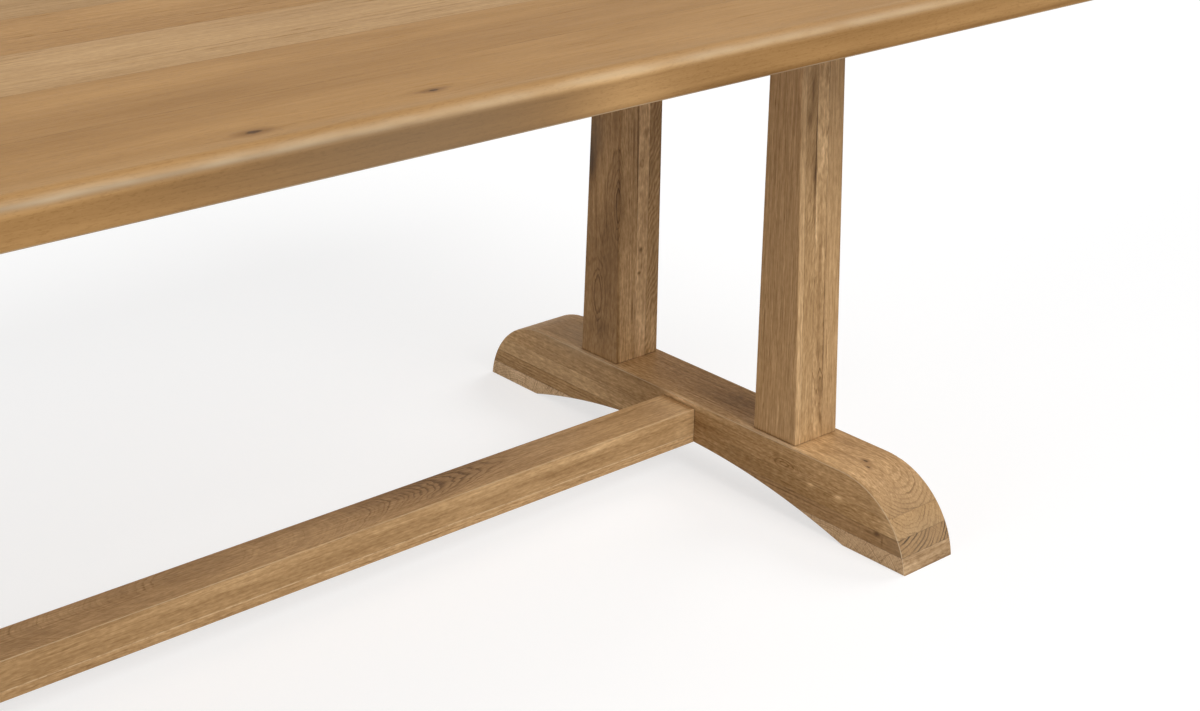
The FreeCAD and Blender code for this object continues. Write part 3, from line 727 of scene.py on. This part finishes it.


# ---- The boards that show most, each with its own cut ------------------------------
# A mark lies on the face that shows it. One much larger than its board runs right across it.
# Many marks are painted shade or painted light rather than the wood's colour; each such mark says
# so above it.
BOARDS = {
    "right_foot_upper_board": Board(
        "honey", heart=(6, 0, 46), slope=(6, -5), ring=4.6, seed=3.0, gloss=0.1, joint=0.22,
        values={"Ring Depth": 0.20, "End Rings": 4.0, "Shake": 0.003, "Warp": 0.006,
                "Streaks": 0.35, "Figure": 0.5, "Dashes": 1.2, "Arris": 0.6, "Blotch": 0.8},
        knots=(((671, -298, 102), 2.0, 9), ((664, -311, 102), 1.5, 6)),
        # Painted shade: darkens the foot's whole inner face.
        marks=(Mark((625, 0, 84), (3, 900, 60), 0.29, ragged=0.0),
               Mark((625, -200, 77), (12, 30, 11), 0.25, rise=26, contrast=2.0),
               Mark((625, -205, 61), (9, 30, 3.5), 0.5),
               Mark((625, -60, 76), (12, 60, 7), 0.35),
               Mark((625, -40, 66), (12, 20, 5), 0.3),
               Mark((625, 40, 84), (12, 34, 14), rise=12, contrast=1.0),
               # Painted shade: the foot's top between the posts, under the table top.
               Mark((680, -60, 102), (60, 150, 9), 0.70, ragged=0.5),
               Mark((680, 95, 102), (60, 60, 9), 0.34, ragged=0.5),
               # Painted shade and painted sheen: the foot's top behind the far post, darker and
               # greyed.
               Mark((670, 250, 102), (60, 80, 9), 0.44, ragged=0.5, wear_and_sheen=0.17),
               Mark((670, -412, 60), (80, 60, 60), 0.66, contrast=1.4, ragged=0.4, wear_and_sheen=0.19),
               # Painted sheen: the far part of the inner face, paled and greyed.
               Mark((625, 230, 90), (4, 150, 60), -0.08, ragged=0.0, wear_and_sheen=0.14),
               # Painted light: the near end of the foot's top, where the front light reaches.
               Mark((670, -315, 102), (60, 50, 9), -0.10, ragged=0.6),
               # Painted light: the narrow strip of the inner face above the stretcher, against its
               # contact shadow.
               Mark((625, -10, 100), (3, 42, 5), -1.1, ragged=0.6, wear_and_sheen=0.15),
               Mark((625, -75, 99), (3, 50, 7), -0.34, ragged=0.6, wear_and_sheen=0.05),
               Mark((640, -122, 102), (22, 20, 6), -0.18, ragged=0.6, wear_and_sheen=0.08),
               # Painted shade: the foot's top right behind the far post.
               Mark((660, 226, 102), (60, 36, 9), 0.12, ragged=0.6, wear_and_sheen=0.07),
               Mark((625, 370, 80), (5, 60, 40), -0.26, ragged=0.5),
               Mark((625, -378, 76), (5, 24, 12), -0.24, ragged=0.6),
               # Painted light: the foot's top in front of the post, against the shade at its base.
               Mark((665, -222, 102), (60, 16, 6), -0.22, ragged=0.6),
               # Painted light: the lit ledge of the foot's top beside each post, paled and greyed.
               Mark((628.3, -174, 102), (2.4, 42, 3), -1.1, ragged=1.0, wear_and_sheen=1.0),
               Mark((628.3, 174, 102), (2.4, 42, 3), -0.7, ragged=1.0, wear_and_sheen=0.8))),
    "right_foot_middle_board": Board(
        "biscuit", heart=(-8, 0, 34), slope=(7, 3), ring=4.6, seed=7.0, gloss=0.1, joint=0.22,
        values={"Ring Depth": 0.20, "Figure": 0.5, "End Rings": 4.0, "Warp": 0.006, "Streaks": 0.35,
                "Dashes": 1.3, "Arris": 0.6, "Blotch": 0.9},
        marks=(Mark((625, -230, 54), (14, 170, 40), 0.20),
               # Painted sheen: the far part of the inner face, paled and greyed.
               Mark((625, 260, 54), (14, 190, 90), -0.14, ragged=0.0, wear_and_sheen=0.15),
               Mark((625, 370, 56), (5, 50, 30), -0.10, ragged=0.5),
               Mark((625, -385, 56), (5, 26, 30), -0.28, ragged=0.6, wear_and_sheen=0.04),
               Mark((625, -248, 65), (4, 6, 4.5), -0.9),
               Mark((625, -295, 63), (4, 8, 5), -0.8),
               Mark((670, -412, 50), (80, 30, 60), 0.40, contrast=1.2, ragged=0.4, wear_and_sheen=0.25))),
    "right_front_foot_lower_board": Board(
        "umber", heart=(-50, 0, 75), slope=(-3, 4), ring=5.4, seed=11.0, joint=0.3,
        values={"Ring Depth": 0.38, "End Rings": 7.0, "Figure": 0.5, "Shake": 0.002, "Streaks": 0.4,
                "Arris": 0.6},
        marks=(Mark((625, -363, 39), (4, 4.5, 3.4), 1.1),
               Mark((625, -352, 37), (4, 7, 2), 0.5),
               Mark((625, -372, 33), (5, 1.3, 6), 0.6, ragged=1.0),
               Mark((670, -412, 33), (80, 30, 60), 0.38, ragged=0.4, wear_and_sheen=0.15))),
    "right_rear_foot_lower_board": Board(
        "tan", heart=(-30, 0, 42), slope=(4, 4), ring=4.0, seed=13.0),
    "right_front_foot_pad": Board(
        "sand", heart=(0, 30, -90), ring=3.4, seed=17.0,
        values={"Figure": 0.2, "Streaks": 0.4, "Dashes": 1.0, "Shake": 0.002, "Warp": 0.002,
                "Ring Depth": 0.3, "Ray Depth": 0.25, "Rays": 62.0, "Arris": 0.5},
        marks=(Mark((690, -412, 9), (50, 12, 20), 0.32, ragged=0.8),
               # Painted shade: darker along the pad's bottom edge.
               Mark((670, -412, 0), (90, 90, 2.4), 0.5),
               Mark((625, -370, 11), (1.5, 90, 90), -0.10, ragged=0.0))),
    "right_rear_foot_pad": Board(
        "sand", heart=(0, 30, -90), ring=3.4, seed=19.0,
        values={"Figure": 0.2, "Streaks": 0.4, "Dashes": 2.0, "Shake": 0.002, "Warp": 0.002,
                "Ring Depth": 0.3, "Ray Depth": 0.28, "Rays": 62.0},
        marks=(Mark((670, 380, 10), (200, 200, 90), -0.27, ragged=0.0),)),

    "right_front_post_facing_board": Board(
        "straw", heart=(0, 150, 0), slope=(2, 3), ring=2.8, seed=2.0, joint=0.2,
        values={"Figure": 0.05, "Streaks": 0.05, "Dashes": 0.5, "Fibre": 1.3, "Ring Depth": 0.05,
                "Pore Depth": 0.8, "Ray Depth": 0.0, "Blotch": 0.12, "Shake": 0.002,
                "Warp": 0.002, "Wander": 0.004, "Arris": 0.0},
        # Painted shade: darkens the post's whole inner face.
        marks=(Mark((631, -190, 400), (1.5, 900, 900), 0.35, ragged=0.0),
               Mark((631, -190, 200), (5, 200, 120), -0.05, ragged=0.0),
               Mark((631, -150, 640), (5, 200, 160), 0.10, ragged=0.0),
               # Painted shade: a dark contact line at the foot of the post.
               Mark((632, -174, 101), (9, 60, 2.6), 0.8),
               # Painted light: paler at the foot of the post, against the shade at its base.
               Mark((640, -212, 112), (12, 9, 14), -0.16))),
    "right_front_post_inner_board": Board(
        "biscuit", heart=(6, 45, 0), slope=(-26, 10), ring=3.6, seed=23.0, joint=0.2,
        values={"Figure": 0.6, "Ring Depth": 0.25, "Streaks": 0.35, "Curl": 0.07, "Curl Lean": 2.7,
                "Curl Pitch": 0.013, "Dashes": 0.6, "Fibre": 1.2, "Arris": 0.0},
        marks=(Mark((647, -200, 531), (5, 60, 14), 0.6, rise=3),
               Mark((653, -200, 569), (4, 60, 24), 0.6),
               Mark((657, -200, 460), (3, 60, 9), 0.75),
               Mark((650, -200, 490), (16, 60, 90), 0.05),
               Mark((660.4, -200, 505), (1.7, 60, 78), 1.6, ragged=1.4),
               Mark((649, -200, 414), (6, 60, 16), rise=6, contrast=1.0),
               # Painted light: paler at the foot of the post, against the shade at its base.
               Mark((650, -205, 116), (16, 60, 18), -0.28, ragged=0.8))),
    "right_front_post_middle_board": Board(
        "honey", heart=(10, 90, 0), slope=(5, 8), ring=3.4, seed=29.0, joint=0.3,
        values={"Figure": 0.4, "Dashes": 1.0, "Streaks": 0.4, "Ring Depth": 0.35, "Arris": 0.0},
        marks=(Mark((670, -200, 510), (20, 60, 80), -0.26, ragged=0.6),
               Mark((674, -200, 462), (10, 60, 40), -0.16, ragged=0.8),
               Mark((671, -200, 290), (3.5, 60, 120), 0.45),
               Mark((676, -205, 177), (4.5, 60, 20), 0.5, rise=6, contrast=1.8),
               Mark((677.5, -205, 128), (2.6, 60, 9), 0.8),
               # Painted light: paler at the foot of the post, against the shade at its base.
               Mark((667, -205, 124), (9, 60, 24), -0.34, ragged=0.6),
               Mark((670, -205, 240), (16, 60, 120), 0.06, ragged=0.6),
               Mark((680.2, -205, 270), (1.6, 60, 120), 0.6, ragged=1.2),
               Mark((662, -200, 400), (1.9, 60, 34), -0.5, ragged=1.2))),
    "right_front_post_outer_board": Board(
        "honey", heart=(70, 70, 0), slope=(4, -6), ring=2.6, seed=31.0, joint=0.35,
        values={"Figure": 0.2, "Ring Depth": 0.2, "Streaks": 0.25, "Fibre": 1.2, "Blotch": 0.3,
                "Dashes": 0.4, "Arris": 0.1},
        marks=(Mark((700, -200, 437), (9, 60, 30), -0.04, rise=5, contrast=1.0),
               Mark((708.5, -200, 300), (2.2, 90, 900), 0.35, ragged=0.3))),

    "right_rear_post_inner_board": Board(
        "honey", heart=(60, -20, 0), slope=(14, 6), ring=4.6, seed=37.0, joint=0.3,
        values={"Figure": 0.5, "Ring Depth": 0.3, "Arris": 0.0, "Streaks": 0.7},
        # Painted shade: darkens the post's whole inner face, and its upper part more.
        marks=(Mark((630.3, 182, 330), (1.7, 900, 900), 0.70, ragged=0.0),
               Mark((630.3, 182, 480), (1.7, 900, 60), 0.55, ragged=0.0),
               Mark((631, 185, 430), (5, 16, 34), 0.7, ragged=1.2, wear_and_sheen=0.10),
               Mark((631, 195, 392), (5, 10, 34), 1.9, ragged=0.8, wear_and_sheen=0.06),
               Mark((631, 192, 225), (5, 14, 60), -0.16, ragged=0.5),
               # Painted light: paler at the foot of the post's front face, against the shade at its
               # base.
               Mark((643, 136, 118), (12, 30, 40), -0.24, ragged=0.8),
               Mark((631, 172, 122), (4, 60, 36), 0.26),
               Mark((632, 136, 338), (12, 20, 60), 0.3, rise=26, contrast=2.2, ragged=1.0),
               Mark((632, 176, 196), (14, 18, 60), 0.25, rise=24, contrast=2.2, ragged=1.0),
               Mark((632, 172, 150), (9, 22, 12), 0.35),
               Mark((665.0, 136, 395), (1.9, 30, 90), 1.5, ragged=1.2),
               Mark((657, 136, 418), (1.7, 30, 60), 0.6),
               Mark((659, 136, 177), (1.6, 30, 22), 0.9),
               Mark((632, 136, 375), (2.2, 3, 66), 0.7, ragged=0.8))),
    "right_rear_post_middle_board": Board(
        "straw", heart=(30, 60, 0), slope=(9, 4), ring=3.4, seed=41.0, joint=0.2,
        values={"Figure": 0.6, "Curl": 0.07, "Curl Pitch": 0.017, "Curl Lean": 0.5},
        marks=(Mark((673, 136, 264), (3.4, 9, 3.0), 1.1, ragged=1.0),
               Mark((671, 136, 230), (2.8, 9, 2.2), 1.2, ragged=1.0),
               Mark((674, 136, 250), (8, 9, 24), 0.14, rise=4, contrast=0.8),
               # Painted light: paler at the foot of the post's front face, against the shade at its
               # base.
               Mark((676, 136, 118), (12, 30, 44), -0.26, ragged=0.8),
               Mark((673, 136, 445), (9, 9, 30), 0.14),
               Mark((676, 136, 275), (12, 30, 70), 0.12, ragged=0.8),
               Mark((679, 136, 430), (3, 9, 7), 0.5, contrast=1.0),
               Mark((673, 136, 389), (6, 9, 9), 0.35, rise=5, contrast=1.0))),
    "right_rear_post_outer_board": Board(
        "tan", heart=(40, 50, 0), slope=(9, 8), ring=3.8, seed=43.0, joint=0.35,
        values={"Figure": 0.5, "Ring Depth": 0.2, "Curl": 0.28, "Curl Lean": 1.9,
                "Curl Pitch": 0.0135},
        marks=(Mark((697, 136, 440), (14, 30, 60), 0.25),
               # Painted light: paler at the foot of the post's front face, against the shade at its
               # base.
               Mark((697, 136, 120), (14, 30, 50), -0.6, ragged=1.2),
               Mark((708.5, 136, 300), (2.2, 30, 900), 0.35, ragged=0.3))),

    "stretcher_upper_board": Board(
        "biscuit", heart=(0, 9, -12), slope=(8, -4), ring=3.0, seed=47.0, pale_joint=True,
        joint=0.6,
        values={"Ring Depth": 0.30, "Shake": 0.005, "Arris": 0.45, "Streaks": 0.45, "Dashes": 0.7},
        marks=(Mark((-120, 14, 94), (330, 900, 3), rise=-138),
               Mark((240, 12, 94), (110, 36, 6), contrast=2.0),
               Mark((-20, -6, 94), (120, 60, 6), -0.20, contrast=-0.4, ragged=0.6),
               Mark((210, 32, 94), (100, 30, 14), 0.55),
               Mark((-20, 34, 94), (160, 12, 14), 0.22),
               Mark((310, -31, 74), (300, 9, 3.5), 0.16, ragged=2.6),
               Mark((0, -31, 85), (440, 9, 8), -0.30),
               Mark((520, -31, 87), (110, 9, 6), -0.24),
               # Painted light: paler where the stretcher meets the foot, against the shade in that
               # corner.
               Mark((610, -31, 72), (26, 9, 30), -0.42, ragged=0.8),
               Mark((612, 0, 94), (20, 60, 6), -0.3, ragged=0.8))),
    "stretcher_lower_board": Board(
        "honey", heart=(0, 30, -70), slope=(5, 6), ring=3.2, seed=53.0, pale_joint=True, joint=0.6,
        values={"Figure": 0.4, "Ring Depth": 0.3, "Streaks": 0.4, "Dashes": 0.8},
        # Painted light: paler where the stretcher meets the foot, against the shade in that corner.
        marks=(Mark((610, -31, 42), (26, 9, 20), -0.3, ragged=0.8),
               # Painted shade: darker along the stretcher's bottom edge.
               Mark((0, -31, 31), (9000, 6, 2.4), 0.34, ragged=0.4))),
}

# ---- The top: calm boards at the front edge, livelier ones behind -----------------
# Arris sets the wear and the painted highlight along the top's rounded front edge.
CALM = {"Figure": 0.32, "Streaks": 0.16, "Dashes": 0.1, "Fibre": 0.3, "Ring Depth": 0.05,
        "Shake": 0.002, "Satin": 0.5, "Arris": 0.40, "Pore Depth": 0.12, "Blotch": 0.6}
LIVELY = {**CALM, "Figure": 0.42, "Streaks": 0.3, "Dashes": 0.35, "Fibre": 0.5, "Ring Depth": 0.16,
          "Shake": 0.004, "Pore Depth": 0.3}
# Darkens and greys the whole front face of the top: partly its darker wood, partly painted shade.
TOP_EDGE = (Mark((0, -500.6, 728), (9000, 0.9, 90), 0.86, ragged=0.1, wear_and_sheen=0.18),
            # Painted highlight along the rounded front edge of the top.
            Mark((0, -500, 746.5), (9000, 5, 2.4), -0.24, ragged=0.4),
            Mark((0, -483, 756), (9000, 10, 6), -0.05, ragged=0.6, wear_and_sheen=0.08),
            Mark((60, -501, 735), (70, 9, 60), -0.54, ragged=0.4),
            Mark((210, -501, 716), (80, 9, 14), 0.26, ragged=0.5),
            # Painted shade: darker along the top's bottom edge.
            Mark((0, -500, 716), (9000, 6, 2), 0.22, ragged=0.4),
            # Painted shade just below the rounded edge, and painted bounce light lower down the
            # front face.
            Mark((0, -506, 739), (3000, 14, 5), 0.08, ragged=1.6),
            Mark((0, -506, 724), (3000, 14, 4), -0.12, ragged=1.6),
            Mark((0, -506, 715), (3000, 14, 4), 0.30, ragged=1.6),
            Mark((-112, -455, 756), (18, 4, 6), 0.36, ragged=2.0),
            Mark((-296, -467, 756), (18, 5, 6), 0.3, ragged=2.0))
TOP_KNOTS = (((-297, -467, 756), 3.6, 22), ((-112, -457, 756), 2.4, 16))
# From the front edge: tone, how far aside the tree's centre lies, seed.
TOP_BOARDS = (("amber", 25, 59.0), ("amber", -40, 61.0), ("honey", 10, 67.0), ("amber", 35, 71.0),
              ("biscuit", -15, 73.0), ("amber", 30, 79.0), ("honey", -30, 83.0), ("amber", 5, 89.0))
CALM_COUNT = 2
CALM_HEART = -80                 # how high the tree's centre lies
LIVELY_HEART = -46
CALM_SLOPE = 6
LIVELY_SLOPE = 0.4               # for each mm that the tree's centre lies aside
for number, (tone, aside, seed) in enumerate(TOP_BOARDS, start=1):
    calm = number <= CALM_COUNT
    heart = (0, aside, CALM_HEART if calm else LIVELY_HEART)
    slope = (CALM_SLOPE if calm else aside * LIVELY_SLOPE, 4)
    BOARDS[f"top_board_{number}"] = Board(
        tone, heart=heart, slope=slope, ring=3.8, seed=seed,
        values=CALM if calm else LIVELY, gloss=0.05, joint=0.3)
BOARDS["top_board_1"].knots = TOP_KNOTS
BOARDS["top_board_1"].marks = TOP_EDGE


dress_nodes()
make_floor()
make_world()
for lamp, setting in LAMPS.items():
    make_lamp(lamp, *setting)
make_camera()
bpy.context.scene.view_settings.view_transform = "Standard"
